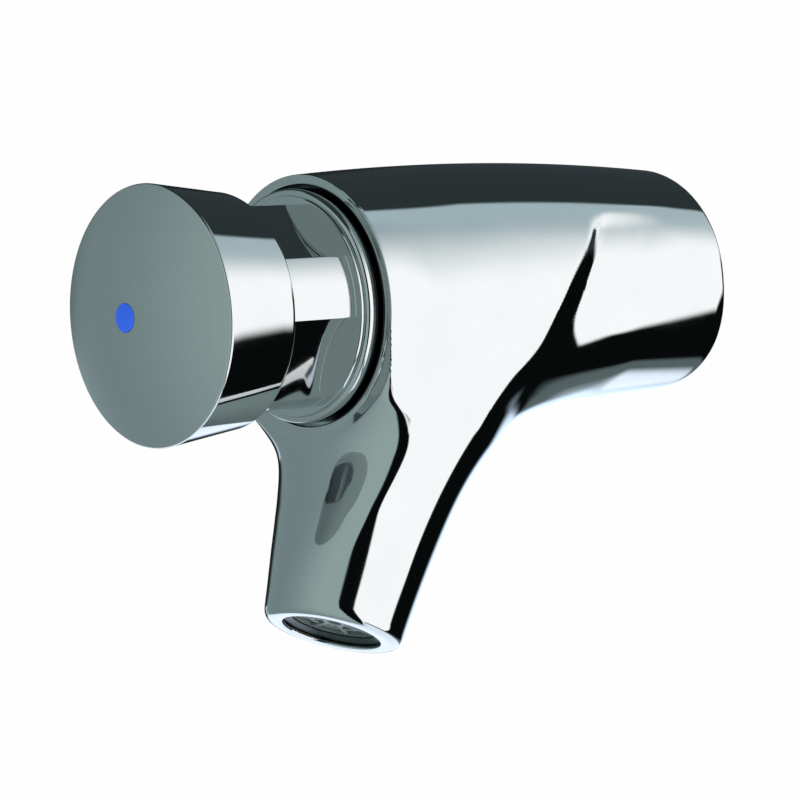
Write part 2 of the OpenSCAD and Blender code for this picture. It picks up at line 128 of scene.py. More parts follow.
def smoothByAngle(piece, degrees, weighted=False):
    pickOnly(piece)
    bpy.ops.object.shade_smooth_by_angle(angle=math.radians(degrees))
    if weighted:
        # broad faces keep their own normal, so a small rounding doesn't bleed into them
        applyModifier(piece, "WEIGHTED_NORMAL", "broadFaces", keep_sharp=True, weight=100)


# first finish all over, second on the faces that the test picks by h, radius and z in mm
def finishFaces(piece, first, second, test):
    piece.data.materials.append(first)
    piece.data.materials.append(second)
    for face in piece.data.polygons:
        h, r = -face.center.y / mm, math.hypot(face.center.x, face.center.z) / mm
        if test(h, r, face.center.z / mm):
            face.material_index = 1


def turnedCopy(piece, turn):
    copy = piece.copy()
    copy.data = piece.data.copy()
    bpy.context.collection.objects.link(copy)
    copy.data.transform(Matrix.Rotation(turn, 4, "Y"))
    return copy


# the studio around the tap, as upright panels: colour by direction
studioSet = {
    "base": "#6B7A7B",
    "strength": 1.93,
    "softLight": 4.6,  # strength for matt surfaces
    "layers": [
        # colour, then the edges that a direction has to pass:
        # turn from the front to the right in degrees, softness, side that is kept;
        # height, low and high; or a leaning edge: turn, lean, low and high
        ("#8A9A98", [("turn", -25, 45, 1), ("turn", 60, 5, -1)]),
        ("#070909", [("turn", 52, 2, 1), ("turn", 226, 2, -1)]),
        ("#F4F2F3", [("turn", 76, 1.5, 1), ("turn", 147, 1.5, -1)]),
        ("#4F5A5C", [("lean", 215, 0.85, 0.14, 0.22), ("turn", 262, 4, -1), ("height", 0.05, -0.02)]),
        ("#D5DEEC", [("lean", 215, 0.85, 0.28, 0.37), ("turn", 262, 4, -1), ("height", 0.05, -0.02)]),
        ("#F4F2F3", [("turn", 138, 1.5, 1), ("turn", 170, 2, -1), ("height", 0.05, 0.25)]),
        ("#7F9398", [("turn", 76, 1.5, 1), ("turn", 175, 3, -1), ("height", 0.22, 0.78)]),
        ("#9AABB0", [("turn", 150, 5, 1), ("turn", 175, 3, -1), ("height", 0.10, 0.70)]),
        ("#272E30", [("turn", 168, 1.5, 1), ("turn", 262, 6, -1), ("height", -0.02, 0.06)]),
        ("#BBCDE2", [("turn", 204, 9, 1), ("turn", 262, 4, -1), ("height", 0.03, -0.03), ("height", -0.4, -0.2)]),
        ("#15191A", [("turn", 226, 3, 1), ("turn", 258, 6, -1), ("height", -0.35, -0.25)]),
        ("#272E30", [("height", 0.84, 0.9)]),
    ],
    "floorZ": -78.0,
    "floorHalf": 2500.0,
    "paper": "#FEFEFE",
}


def addStudio():
    world = bpy.data.worlds.new("studioWorld")
    bpy.context.scene.world = world
    world.use_nodes = True
    tree = world.node_tree
    tree.nodes.clear()
    where = addNode(tree, "ShaderNodeTexCoord")
    colour = addNode(tree, "ShaderNodeRGB")
    colour.outputs[0].default_value = hexColour(studioSet["base"])
    last = colour.outputs[0]
    for code, edges in studioSet["layers"]:
        mask = None
        for kind, first, *rest in edges:
            turn = math.radians(first)
            if kind == "height":
                axis, low, high = (0.0, 0.0, 1.0), first, rest[0]
            elif kind == "lean":
                axis, low, high = (math.cos(turn), math.sin(turn), -rest[0]), rest[1], rest[2]
            else:
                soft = math.sin(math.radians(rest[0])) * rest[1]
                axis, low, high = (math.cos(turn), math.sin(turn), 0.0), -soft, soft
            value = addNode(
                tree, "ShaderNodeVectorMath", {1: axis}, {0: where.outputs["Generated"]},
                operation="DOT_PRODUCT").outputs["Value"]
            ramp = addNode(
                tree, "ShaderNodeMapRange", {"From Min": low, "From Max": high},
                {"Value": value}, interpolation_type="SMOOTHSTEP").outputs["Result"]
            mask = ramp if mask is None else addNode(
                tree, "ShaderNodeMath", links={0: mask, 1: ramp}, operation="MULTIPLY").outputs[0]
        last = addNode(
            tree, "ShaderNodeMix", {7: hexColour(code)}, {0: mask, 6: last}, data_type="RGBA").outputs[2]
    path = addNode(tree, "ShaderNodeLightPath")
    power = addNode(
        tree, "ShaderNodeMapRange", {"To Min": studioSet["strength"], "To Max": studioSet["softLight"]},
        {"Value": path.outputs["Is Diffuse Ray"]})
    light = addNode(tree, "ShaderNodeBackground", links={"Color": last, "Strength": power.outputs["Result"]})
    addNode(tree, "ShaderNodeOutputWorld", links={"Surface": light.outputs[0]})
    bpy.context.scene.view_settings.view_transform = "Standard"

    # paper floor and a dome behind it; mirrors see the studio instead of them
    deselectAll()
    size = studioSet["floorHalf"] * mm
    bpy.ops.mesh.primitive_plane_add(size=2 * size, location=(0, 0, studioSet["floorZ"] * mm))
    floor = bpy.context.object
    floor.name = "paperFloor"
    bpy.ops.object.transform_apply(location=True, rotation=True, scale=True)
    deselectAll()
    bpy.ops.mesh.primitive_uv_sphere_add(segments=48, ring_count=24, radius=size)
    dome = bpy.context.object
    dome.name = "paperDome"
    bpy.ops.object.mode_set(mode="EDIT")
    bpy.ops.mesh.flip_normals()
    bpy.ops.object.mode_set(mode="OBJECT")
    for piece in (floor, dome):
        paper, tree = startMaterial(piece.name)
        white = hexColour(studioSet["paper"])
        glow = addNode(tree, "ShaderNodeEmission", {"Color": white, "Strength": 1.0})
        addNode(tree, "ShaderNodeOutputMaterial", links={"Surface": glow.outputs[0]})
        piece.data.materials.append(paper)
        piece.visible_glossy = False
        piece.visible_diffuse = False
        piece.visible_transmission = False
        piece.visible_shadow = False


addCamera()
addStudio()
print("camera and studio")


# Chromium plate on polished cast brass: a mirror, a little soft where the wheel has passed
def polishedChrome():
    material, tree = startMaterial("polished_chrome_plate")
    where = addNode(tree, "ShaderNodeTexCoord")
    haze = addNode(
        tree, "ShaderNodeTexNoise", {"Scale": 1 / (9 * mm), "Detail": 3.0, "Roughness": 0.6},
        {"Vector": where.outputs["Object"]})
    rough = addNode(
        tree, "ShaderNodeMapRange", {"From Min": 0.3, "From Max": 0.7, "To Min": 0.025, "To Max": 0.06},
        {"Value": haze.outputs["Fac"]})
    tint = addNode(
        tree, "ShaderNodeMix", {6: hexColour("#C2C6C6"), 7: hexColour("#BCC0C0")},
        {0: haze.outputs["Fac"]}, data_type="RGBA")
    shader = addNode(
        tree, "ShaderNodeBsdfPrincipled", {"Metallic": 1.0},
        {"Base Color": tint.outputs[2], "Roughness": rough.outputs["Result"]})
    addNode(tree, "ShaderNodeOutputMaterial", links={"Surface": shader.outputs[0]})
    return material


# Satin chrome, turned on a lathe: fine rings round the axis that spread each light
# ring pitch drawn at 0.35 mm, coarser than the real 0.1 mm, so that it shows
def satinChrome():
    material, tree = startMaterial("satin_turned_chrome")
    where = addNode(tree, "ShaderNodeTexCoord")
    flat = addNode(
        tree, "ShaderNodeVectorMath", {1: (1.0, 0.0, 1.0)}, {0: where.outputs["Object"]}, operation="MULTIPLY")
    radius = addNode(tree, "ShaderNodeVectorMath", links={0: flat.outputs[0]}, operation="LENGTH")
    line = addNode(
        tree, "ShaderNodeTexNoise", {"Scale": 1 / (0.35 * mm), "Detail": 2.0, "Roughness": 0.7},
        {"W": radius.outputs["Value"]}, noise_dimensions="1D")
    cloud = addNode(
        tree, "ShaderNodeTexNoise", {"Scale": 1 / (14 * mm), "Detail": 3.0}, {"Vector": where.outputs["Object"]})
    rough = addNode(
        tree, "ShaderNodeMapRange", {"From Min": 0.3, "From Max": 0.7, "To Min": 0.30, "To Max": 0.38},
        {"Value": cloud.outputs["Fac"]})
    bump = addNode(
        tree, "ShaderNodeBump", {"Strength": 0.25, "Distance": 0.01 * mm}, {"Height": line.outputs["Fac"]})
    tint = addNode(
        tree, "ShaderNodeMix", {6: hexColour("#C3C7C7"), 7: hexColour("#B6BBBB")},
        {0: line.outputs["Fac"]}, data_type="RGBA")
    shader = addNode(
        tree, "ShaderNodeBsdfPrincipled", {"Metallic": 1.0},
        {"Base Color": tint.outputs[2], "Roughness": rough.outputs["Result"], "Normal": bump.outputs["Normal"]})
    addNode(tree, "ShaderNodeOutputMaterial", links={"Surface": shader.outputs[0]})
    return material


# plain finishes of the inner and small pieces: colours, surface and the grain that the eye meets
finishSet = {
    # name: dark, light, metallic, roughness low and high, grain in mm, bump in mm
    "turned_brass": ("#9C7A36", "#C7A356", 1.0, 0.18, 0.32, 0.5, 0.004),
    "turned_stainless_steel": ("#8E9194", "#B9BCBE", 1.0, 0.16, 0.30, 0.4, 0.004),
    "moulded_epdm_rubber": ("#121313", "#232424", 0.0, 0.55, 0.75, 0.3, 0.010),
    "moulded_white_acetal": ("#D9D7CE", "#ECEAE2", 0.0, 0.35, 0.48, 1.2, 0.006),
    "moulded_grey_acetal": ("#4E5455", "#6E7576", 0.0, 0.30, 0.45, 0.8, 0.006),
    "dull_chromed_abs": ("#3C4142", "#5A6061", 1.0, 0.18, 0.34, 0.9, 0.004),
    "moulded_blue_acrylic": ("#2250CC", "#2B5EDE", 0.0, 0.12, 0.20, 1.5, 0.002),
}


def plainFinish(name):
    dark, light, metallic, low, high, grain, height = finishSet[name]
    material, tree = startMaterial(name)
    where = addNode(tree, "ShaderNodeTexCoord")
    noise = addNode(
        tree, "ShaderNodeTexNoise", {"Scale": 1 / (grain * mm), "Detail": 4.0, "Roughness": 0.6},
        {"Vector": where.outputs["Object"]})
    tint = addNode(
        tree, "ShaderNodeMix", {6: hexColour(dark), 7: hexColour(light)}, {0: noise.outputs["Fac"]},
        data_type="RGBA")
    rough = addNode(
        tree, "ShaderNodeMapRange", {"From Min": 0.3, "From Max": 0.7, "To Min": low, "To Max": high},
        {"Value": noise.outputs["Fac"]})
    bump = addNode(
        tree, "ShaderNodeBump", {"Strength": 0.5, "Distance": height * mm}, {"Height": noise.outputs["Fac"]})
    shader = addNode(
        tree, "ShaderNodeBsdfPrincipled", {"Metallic": metallic},
        {"Base Color": tint.outputs[2], "Roughness": rough.outputs["Result"], "Normal": bump.outputs["Normal"]})
    addNode(tree, "ShaderNodeOutputMaterial", links={"Surface": shader.outputs[0]})
    return material


# Chrome in the groove round the flange, dull: its dark mottled colour is painted shade, which fades out towards
# the bottom of the groove
def grooveShadeChrome():
    material, tree = startMaterial("painted_shade_groove_chrome")
    where = addNode(tree, "ShaderNodeTexCoord")
    shadeMottle = addNode(
        tree, "ShaderNodeTexNoise", {"Scale": 1 / (2.5 * mm), "Detail": 4.0, "Roughness": 0.65},
        {"Vector": where.outputs["Object"]})
    # the painted shade fades out towards the bottom of the groove
    lean = addNode(
        tree, "ShaderNodeVectorMath", {1: (0.6, 0.0, 0.8)}, {0: where.outputs["Object"]}, operation="DOT_PRODUCT")
    shadeFade = addNode(
        tree, "ShaderNodeMapRange", {"From Min": -14 * mm, "From Max": -17 * mm}, {"Value": lean.outputs["Value"]},
        interpolation_type="SMOOTHSTEP")
    # painted shade: mottled dark grey
    dark = addNode(
        tree, "ShaderNodeMix", {6: hexColour("#444849"), 7: hexColour("#2E3233")},
        {0: shadeMottle.outputs["Fac"]}, data_type="RGBA")
    tint = addNode(
        tree, "ShaderNodeMix", {7: hexColour("#B4B9B9")},
        {0: shadeFade.outputs["Result"], 6: dark.outputs[2]}, data_type="RGBA")
    rough = addNode(
        tree, "ShaderNodeMapRange", {"From Min": 0.3, "From Max": 0.7, "To Min": 0.12, "To Max": 0.3},
        {"Value": shadeMottle.outputs["Fac"]})
    shader = addNode(
        tree, "ShaderNodeBsdfPrincipled", {"Metallic": 1.0},
        {"Base Color": tint.outputs[2], "Roughness": rough.outputs["Result"]})
    addNode(tree, "ShaderNodeOutputMaterial", links={"Surface": shader.outputs[0]})
    return material


chrome = polishedChrome()
satin = satinChrome()
# groove: chrome with painted shade for the groove round the flange
groove = grooveShadeChrome()
finishes = {name: plainFinish(name) for name in finishSet}

# every solid of the frame gets the finish of its slot
slotFinish = {
    "chrome_casting": chrome,
    "chrome_trim": chrome,
    "satin_chrome": satin,
    "blue_marker": finishes["moulded_blue_acrylic"],
    "brass": finishes["turned_brass"],
    "stainless": finishes["turned_stainless_steel"],
    "rubber": finishes["moulded_epdm_rubber"],
    "white_plastic": finishes["moulded_white_acetal"],
    "grey_plastic": finishes["moulded_grey_acetal"],
}
for part in frame["record"]["subparts"]:
    solid = nodes[part["node"]]
    solid.data.materials.clear()
    solid.data.materials.append(slotFinish[part["material_slot"]])
print("materials")


# the casting: skin of barrel and spout, in mm; h is the distance from the wall, z the height over the axis
castingSet = {
    "bodyLen": 87.1, "wallTop": 22.1, "wallUnder": 20.9, "wallHalf": 22.0, "mouthR": 23.2,
    "crown": 1.7, "sideBow": 0.3, "fullness": 0.33,
    "creaseH": 37.3, "creaseLean": 0.8, "creaseW": 4.4, "dent": 0.8, "cheekMost": 4.0, "swellRate": 0.06,
    "outletReach": 88.6, "outletDrop": 58.0, "tilt": 26.0, "outletR": 12.3, "belly": 7.0,
    "flareStart": 23.5, "flareGain": 0.00042, "flareMost": 21.5,
    "foreRate": 0.13, "foreBend": 0.06, "foreFrom": 20.0, "aftRate": 0.085,
    "halfRate": 0.12, "halfFlare": 0.28, "halfFrom": 27.0, "halfSoft": 8.0,
    "squareFore": 1.4, "squareAft": 0.6, "spoutMost": 95.0, "frontSlope": 1.05, "frontKnee": 4.0,
    "cheekRate": 0.0072, "cheekTop": 13.5, "bulgeRate": 0.009, "bulgeTop": 8.0,
    "wideRate": 0.03, "wideTop": -13.0, "lowRate": 0.02, "lowTop": -9.0,
    "eyeH": 58.0, "overshoot": 8.0, "rimIn": 0.4, "rimEdge": 0.25, "knee": 8.0, "rimRow": (22.7, 87.0),
    "columns": 288, "frontRows": 150, "rearRows": 84, "frontSweep": 64.0,
}


# smooth step from 0 at a to 1 at b
def step01(a, b, v):
    t = np.clip((v - a) / (b - a), 0, 1)
    return t * t * (3 - 2 * t)


# value that levels off at most
def level(v, most):
    return v / (1 + (v / most) ** 3) ** (1 / 3)


# 0 well under 0, v well over it, rounded over width
def hinge(v, width):
    return (v + np.sqrt(v * v + width * width)) / 2


# union of two distances with a fillet, and their overlap with a rounded edge
def joinField(a, b, r):
    return np.maximum(r, np.minimum(a, b)) - np.hypot(np.maximum(r - a, 0), np.maximum(r - b, 0))


def commonField(a, b, r):
    return np.minimum(-r, np.maximum(a, b)) + np.hypot(np.maximum(a + r, 0), np.maximum(b + r, 0))


def barrelField(x, h, z):
    c = castingSet
    t = h / c["bodyLen"]
    top = c["wallTop"] + (c["mouthR"] - c["wallTop"]) * t + 4 * c["crown"] * t * (1 - t)
    under = c["wallUnder"] + (c["mouthR"] - c["wallUnder"]) * np.maximum(t, 0) ** 3
    half = c["wallHalf"] + (c["mouthR"] - c["wallHalf"]) * t + 4 * c["sideBow"] * t * (1 - t)
    rise, tall = (top - under) / 2, (top + under) / 2
    power = 2 + np.where(z < rise, c["fullness"] * np.clip(1 - t, 0, 1), 0)
    ring = (np.abs(x / half) ** power + np.abs((z - rise) / tall) ** power) ** (1 / power) - 1
    return ring * np.minimum(half, tall)


def frontField(h, z):
    c = castingSet
    sine, cosine = math.sin(math.radians(c["tilt"])), math.cos(math.radians(c["tilt"]))
    slope = (c["outletReach"] + c["outletR"] * cosine - c["bodyLen"]) / (
        -c["mouthR"] + c["outletDrop"] - c["outletR"] * sine)
    bow = slope * hinge(-c["mouthR"] - z, c["frontKnee"]) + c["belly"] * step01(-24, -48, z)
    return (h - c["bodyLen"] - bow) / c["frontSlope"] + 0.1 + 0.4 * step01(-6, -14, z)


def spoutField(x, h, z):
    c = castingSet
    sine, cosine = math.sin(math.radians(c["tilt"])), math.cos(math.radians(c["tilt"]))
    dh, dz = h - c["outletReach"], z + c["outletDrop"]
    up, out = dz * cosine - dh * sine, dh * cosine + dz * sine
    a = np.clip(up, 0, c["spoutMost"])
    fore = c["outletR"] + c["foreRate"] * a + c["foreBend"] * np.maximum(a - c["foreFrom"], 0) ** 2
    aft = c["outletR"] + c["aftRate"] * a
    aft = aft + level(c["flareGain"] * np.maximum(a - c["flareStart"], 0) ** 3, c["flareMost"])
    half = c["outletR"] + c["halfRate"] * a + c["halfFlare"] * hinge(a - c["halfFrom"], c["halfSoft"])
    power = 2 + np.where(out > 0, c["squareFore"], c["squareAft"]) * step01(5, 60, a)
    deep = np.where(out > 0, fore, aft)
    ring = ((np.abs(x) / half) ** power + (np.abs(out) / deep) ** power) ** (1 / power) - 1
    return np.maximum(ring * np.minimum(half, deep), -c["overshoot"] - up)


def castingField(x, h, z):
    c = castingSet
    around = barrelField(x, h, z)
    ahead = (h - c["creaseH"] + c["creaseLean"] * z) * math.cos(math.atan(c["creaseLean"]))
    width = c["creaseW"] + 0.1 * np.maximum(4 - z, 0)
    share = step01(0, 1, ahead / width)
    cheek = level(c["cheekRate"] * np.maximum(c["cheekTop"] - z, 0) ** 2, c["cheekMost"])
    cheek = cheek * step01(c["bodyLen"] - 0.5, c["bodyLen"] - 12, h) * share
    crease = c["dent"] * step01(-16, 0, ahead) * (1 - share) * step01(13, 9, z) * step01(-12, -2, z)
    swell = c["swellRate"] * h * step01(0, -14, z) * step01(-24, -14, z) * (1 - share)
    body = np.maximum(around - swell - cheek + crease, -c["overshoot"] - h)
    wide = c["wideRate"] * np.maximum(c["wideTop"] - z, 0) ** 2
    bulge = c["bulgeRate"] * np.maximum(c["bulgeTop"] - z, 0) ** 2 + wide - 2.5 * step01(-8, 10, z)
    low = c["lowRate"] * np.maximum(c["lowTop"] - z, 0) ** 2 + wide - 1.5 * step01(-16, -6, z)
    onto = step01(0, 1, (ahead + 4) / (width + 6))
    rim = step01(-30, -6, z) * step01(c["bodyLen"] - 45, c["bodyLen"], h) * step01(2, 20, np.abs(x))
    cap = around - (bulge * (1 - rim) - c["rimIn"] * rim) * onto - low * (1 - onto)
    edge = 1 + 3 * step01(c["bodyLen"] - 3, c["bodyLen"] - 17, h) + 2 * (1 - onto)
    leg = commonField(spoutField(x, h, z), cap, edge)
    whole = joinField(body, leg, 1.5 + 4.5 * step01(-4, -16, z))
    corner = c["rimEdge"] + c["knee"] * step01(-12, -26, z) * (1 - 0.55 * step01(-26, -37, z))
    return commonField(whole, frontField(h, z), corner + 6 * step01(-20, -40, z))


# rings inside the casting from the mouth to the tail and back to the wall, radius and h in mm
ringEdge = [(22.62, 0.0), (22.58, 0.3), (22.52, 0.75), (22.42, 1.0)]  # radius, share of the ring's step
ringFace = [(21.95, 0.0), (21.75, 0.0), (21.53, 0.08), (21.4, 0.3)]  # radius, depth below the ring
boreRings = [
    (21.4, 86.4), (21.4, 85.0), (19.3, 85.0), (19.3, 73.0), (17.15, 73.0), (17.15, 40.4),
    (15.45, 40.4), (15.45, 14.2), (6.0, 14.2), (6.0, 5.0), (7.0, 5.0), (7.0, -14.6), (7.4, -15.0),
    (8.7, -15.0), (9.4, -14.3), (9.4, -1.6), (10.2, -0.8), (10.2, 0.0), (12.0, 0.0), (20.0, 0.0),
]
wallEdge = [(0.982, 0.0), (0.994, 0.12), (0.999, 0.4)]  # share of the rear outline, h


def skinPoints(azimuth, polar):
    eye = castingSet["eyeH"]
    dx, dh, dz = np.sin(polar) * np.cos(azimuth), np.cos(polar), np.sin(polar) * np.sin(azimuth)
    near, far = np.full_like(polar, 8.0), np.full_like(polar, 100.0)
    for _ in range(40):
        middle = (near + far) / 2
        inside = castingField(middle * dx, eye + middle * dh, middle * dz) < 0
        near, far = np.where(inside, middle, near), np.where(inside, far, middle)
    return np.stack([near * dx, -(eye + near * dh), near * dz], axis=-1)


def buildCasting():
    c = castingSet
    skinRows = c["frontRows"] + c["rearRows"]
    rowCount = skinRows + len(ringEdge) + len(ringFace) + len(boreRings) + len(wallEdge)
    deselectAll()
    bpy.ops.mesh.primitive_torus_add(
        major_segments=c["columns"], minor_segments=rowCount, major_radius=40 * mm, minor_radius=10 * mm,
        rotation=(math.pi / 2, 0, 0))
    piece = bpy.context.object
    piece.name = "bodyShell"
    bpy.ops.object.transform_apply(location=True, rotation=True, scale=True)
    points = np.empty(len(piece.data.vertices) * 3)
    piece.data.vertices.foreach_get("co", points)
    points = points.reshape(-1, 3)
    reach = np.hypot(points[:, 0], points[:, 2])
    turn = np.arctan2(points[:, 2], points[:, 0])
    around = np.arctan2(-points[:, 1], reach - 40 * mm)
    row = np.rint(around / (2 * math.pi) * rowCount).astype(int) % rowCount
    # columns stand closer under the barrel, where the spout is
    share = (math.pi / 2 - turn) / math.pi
    share = np.where(share > 1, share - 2, share)
    bent = np.sign(share) * (1.55 * np.abs(share) - 0.55 * share * share)
    azimuth = math.pi / 2 - math.pi * bent
    # the rear outline at the wall gives the last polar angle of each column
    wall = np.full_like(azimuth, 20.0)
    for _ in range(30):
        wall = wall - barrelField(wall * np.cos(azimuth), 0.7 + 0 * wall, wall * np.sin(azimuth))
    wallPolar = np.arctan2(wall, 0.7 - c["eyeH"])
    rimPolar = math.atan2(c["rimRow"][0], c["rimRow"][1] - c["eyeH"])
    sweep = math.radians(c["frontSweep"])
    placed = points.copy()
    # skin rows run from the wall to the mouth
    first = len(wallEdge)
    skin = (row >= first) & (row < first + skinRows)
    step = (row - first).astype(float)
    rear = rimPolar + sweep + (wallPolar - rimPolar - sweep) * (c["rearRows"] - step) / c["rearRows"]
    front = rimPolar + sweep * np.clip((skinRows - 1 - step) / (c["frontRows"] - 1), 0, None) ** 1.25
    polar = np.where(step < c["rearRows"], rear, front)
    placed[skin] = skinPoints(azimuth[skin], polar[skin]) * mm
    for i, (scale, h) in enumerate(wallEdge):
        pick = row == i
        r = wall[pick] * scale
        placed[pick] = np.stack([r * np.cos(azimuth[pick]), 0 * r - h, r * np.sin(azimuth[pick])], axis=-1) * mm
    # the ring of the mouth stands a little proud of the front, and under the mouth comes forward with it
    foot = c["bodyLen"] - c["frontSlope"] * frontField(c["bodyLen"], 22.6 * np.sin(azimuth))
    crest = np.maximum(c["bodyLen"], foot + 0.05)
    rings = [(r, foot + (crest - foot) * share) for r, share in ringEdge]
    rings += [(r, crest - depth) for r, depth in ringFace]
    rings += [(r, h + 0 * foot) for r, h in boreRings]
    for i, (r, h) in enumerate(rings):
        pick = row == first + skinRows + i
        a = azimuth[pick]
        placed[pick] = np.stack([r * np.cos(a), -h[pick], r * np.sin(a)], axis=-1) * mm
    piece.data.vertices.foreach_set("co", placed.ravel())
    piece.data.update()
    return piece


# outlet lip: inset from the skin and height above the outlet plane, then rings of the bore, in mm
lipSet = {
    "cut": 2.2,
    "round": [(0.08, 1.7), (0.25, 1.15), (0.55, 0.65), (0.95, 0.27), (1.35, 0.07), (1.75, 0.0)],
    "bore": [(9.15, 0.0), (8.98, 0.06), (8.9, 0.2), (8.9, 0.5), (9.0, 0.66), (9.48, 0.72), (9.5, 0.78),
             (9.5, 11.0), (6.4, 11.0), (6.4, 26.0)],
}


def cutOutlet(piece):
    c = castingSet
    lean = math.radians(c["tilt"])
    axis = Vector((0, math.sin(lean), math.cos(lean)))  # up the spout
    ahead = Vector((0, -math.cos(lean), math.sin(lean)))
    centre = Vector((0, -c["outletReach"], -c["outletDrop"])) * mm
    pickOnly(piece)
    bpy.ops.object.mode_set(mode="EDIT")
    bpy.ops.mesh.select_all(action="SELECT")
    bpy.ops.mesh.bisect(
        plane_co=centre + axis * lipSet["cut"] * mm, plane_no=-axis, clear_outer=True, use_fill=False)
    bpy.ops.mesh.remove_doubles(threshold=0.05 * mm)

    def placeRing(radius, height):
        bpy.ops.mesh.extrude_region_move()
        ring = bmesh.from_edit_mesh(piece.data)
        for vert in ring.verts:
            if vert.select:
                part = vert.co - centre
                angle = math.atan2(part.dot(ahead), part.x)
                r = radius(math.hypot(part.dot(ahead), part.x))
                vert.co = centre + (Vector((1, 0, 0)) * math.cos(angle) + ahead * math.sin(angle)) * r
                vert.co += axis * height * mm
        bmesh.update_edit_mesh(piece.data)

    gone = 0.0
    for inset, height in lipSet["round"]:
        move = (inset - gone) * mm
        placeRing(lambda r: r - move, height)
        gone = inset
    for r, height in lipSet["bore"]:
        placeRing(lambda _: r * mm, height)
    bpy.ops.mesh.edge_face_add()
    bpy.ops.object.mode_set(mode="OBJECT")


# where the painted shade lies in the groove between mouth and flange, in mm
grooveShadeSet = {
    "bodyRear": 84.0, "bodyFront": 86.85, "bodyR": 21.6, "bodyLow": -30.0,
    "nutRear": 86.01, "nutFront": 88.25, "nutR": 20.0,
}
bodyShell = buildCasting()
cutOutlet(bodyShell)
smoothByAngle(bodyShell, 32)
# painted shade: the recess inside the mouth takes the dark groove chrome, except low down
finishFaces(
    bodyShell, chrome, groove,
    lambda h, r, z: grooveShadeSet["bodyRear"] < h < grooveShadeSet["bodyFront"]
    and r < grooveShadeSet["bodyR"] and z > grooveShadeSet["bodyLow"])
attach(bodyShell, "tap_body")
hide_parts("body_casting")
print("body shell:", len(bodyShell.data.polygons), "faces")


def spinProfile(name, profile, steps, closed):
    deselectAll()
    bpy.ops.mesh.primitive_plane_add(size=mm)
    piece = bpy.context.object
    piece.name = name
    bpy.ops.object.mode_set(mode="EDIT")
    bpy.ops.mesh.select_all(action="SELECT")
    bpy.ops.mesh.merge(type="CENTER")
    last = Vector((0, 0, 0))
    for i, (r, h) in enumerate(profile):
        point = Vector((r, -h, 0)) * mm
        if i == 0:
            bpy.ops.transform.translate(value=point)
        else:
            bpy.ops.mesh.extrude_region_move(TRANSFORM_OT_translate={"value": point - last})
        last = point
    bpy.ops.mesh.select_all(action="SELECT")
    bpy.ops.mesh.remove_doubles(threshold=0.001 * mm)
    if closed:
        joinEnds(piece, profile)
    bpy.ops.mesh.select_all(action="SELECT")
    bpy.ops.mesh.spin(steps=steps, angle=2 * math.pi, center=(0, 0, 0), axis=(0, 1, 0))
    bpy.ops.mesh.select_all(action="SELECT")
    bpy.ops.mesh.remove_doubles(threshold=0.002 * mm)
    bpy.ops.mesh.normals_make_consistent(inside=False)
    bpy.ops.object.mode_set(mode="OBJECT")
    return piece


def joinEnds(piece, profile):
    ends = [Vector((r, -h, 0)) * mm for r, h in (profile[0], profile[-1])]
    bpy.ops.mesh.select_all(action="DESELECT")
    wire = bmesh.from_edit_mesh(piece.data)
    for vert in wire.verts:
        vert.select = min((vert.co - end).length for end in ends) < 0.001 * mm
    wire.select_flush(True)
    bmesh.update_edit_mesh(piece.data)
    bpy.ops.mesh.edge_face_add()


# push button: flared side, domed turned face, bore that slides over the neck
buttonSet = {
    "rimR": 22.5, "rimH": 121.5, "rearR": 20.65, "rearH": 106.0, "apex": 126.3, "faceR": 22.1,
    "boreR": 18.3, "floorH": 120.0, "stemR": 3.05, "stemTop": 124.8, "markerR": 2.55, "markerFloor": 125.4,
    "faceSteps": 16, "sideSteps": 6, "turnSteps": 160,
    "rimEdge": [(22.32, 121.38), (22.44, 121.2)], "side": [(22.49, 120.85), (20.68, 106.7)],
    "rearEdge": [(20.55, 106.15), (20.35, 106.03)], "rearFlat": (20.1, 18.6), "boreEdge": 106.3,
    "satinFrom": 121.4, "turnedTo": 106.25, "turnedR": 18.6, "turnedFront": 120.5,
}


def buildButton():
    b = buttonSet
    rise = b["apex"] - b["rimH"]
    ball = (b["faceR"] ** 2 + rise ** 2) / (2 * rise)
    profile = [(0, b["markerFloor"]), (b["markerR"], b["markerFloor"])]
    for i in range(b["faceSteps"] + 1):
        r = b["markerR"] + (b["faceR"] - b["markerR"]) * i / b["faceSteps"]
        profile.append((r, b["apex"] - ball + math.sqrt(ball * ball - r * r)))
    profile += b["rimEdge"] + [(b["rimR"], 120.98)]
    (frontR, frontH), (backR, backH) = b["side"]
    for i in range(b["sideSteps"] + 1):
        t = i / b["sideSteps"]
        profile.append((frontR + (backR - frontR) * t, frontH + (backH - frontH) * t))
    profile += [(b["rearR"], 106.4)] + b["rearEdge"] + [(r, b["rearH"]) for r in b["rearFlat"]]
    profile += [(b["boreR"], b["boreEdge"]), (b["boreR"], b["floorH"]), (b["stemR"], b["floorH"])]
    profile += [(b["stemR"], b["stemTop"]), (0, b["stemTop"])]
    return spinProfile("buttonCap", profile, b["turnSteps"], False)


buttonCap = buildButton()
smoothByAngle(buttonCap, 30, True)
# the face is satin; the rear edge and the bore are left as turned
finishFaces(
    buttonCap, chrome, satin,
    lambda h, r, z: h > buttonSet["satinFrom"] and r > buttonSet["markerR"]
    or h < buttonSet["turnedTo"] or r < buttonSet["turnedR"] and h < buttonSet["turnedFront"])
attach(buttonCap, "plunger")
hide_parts("push_button")
print("button cap")


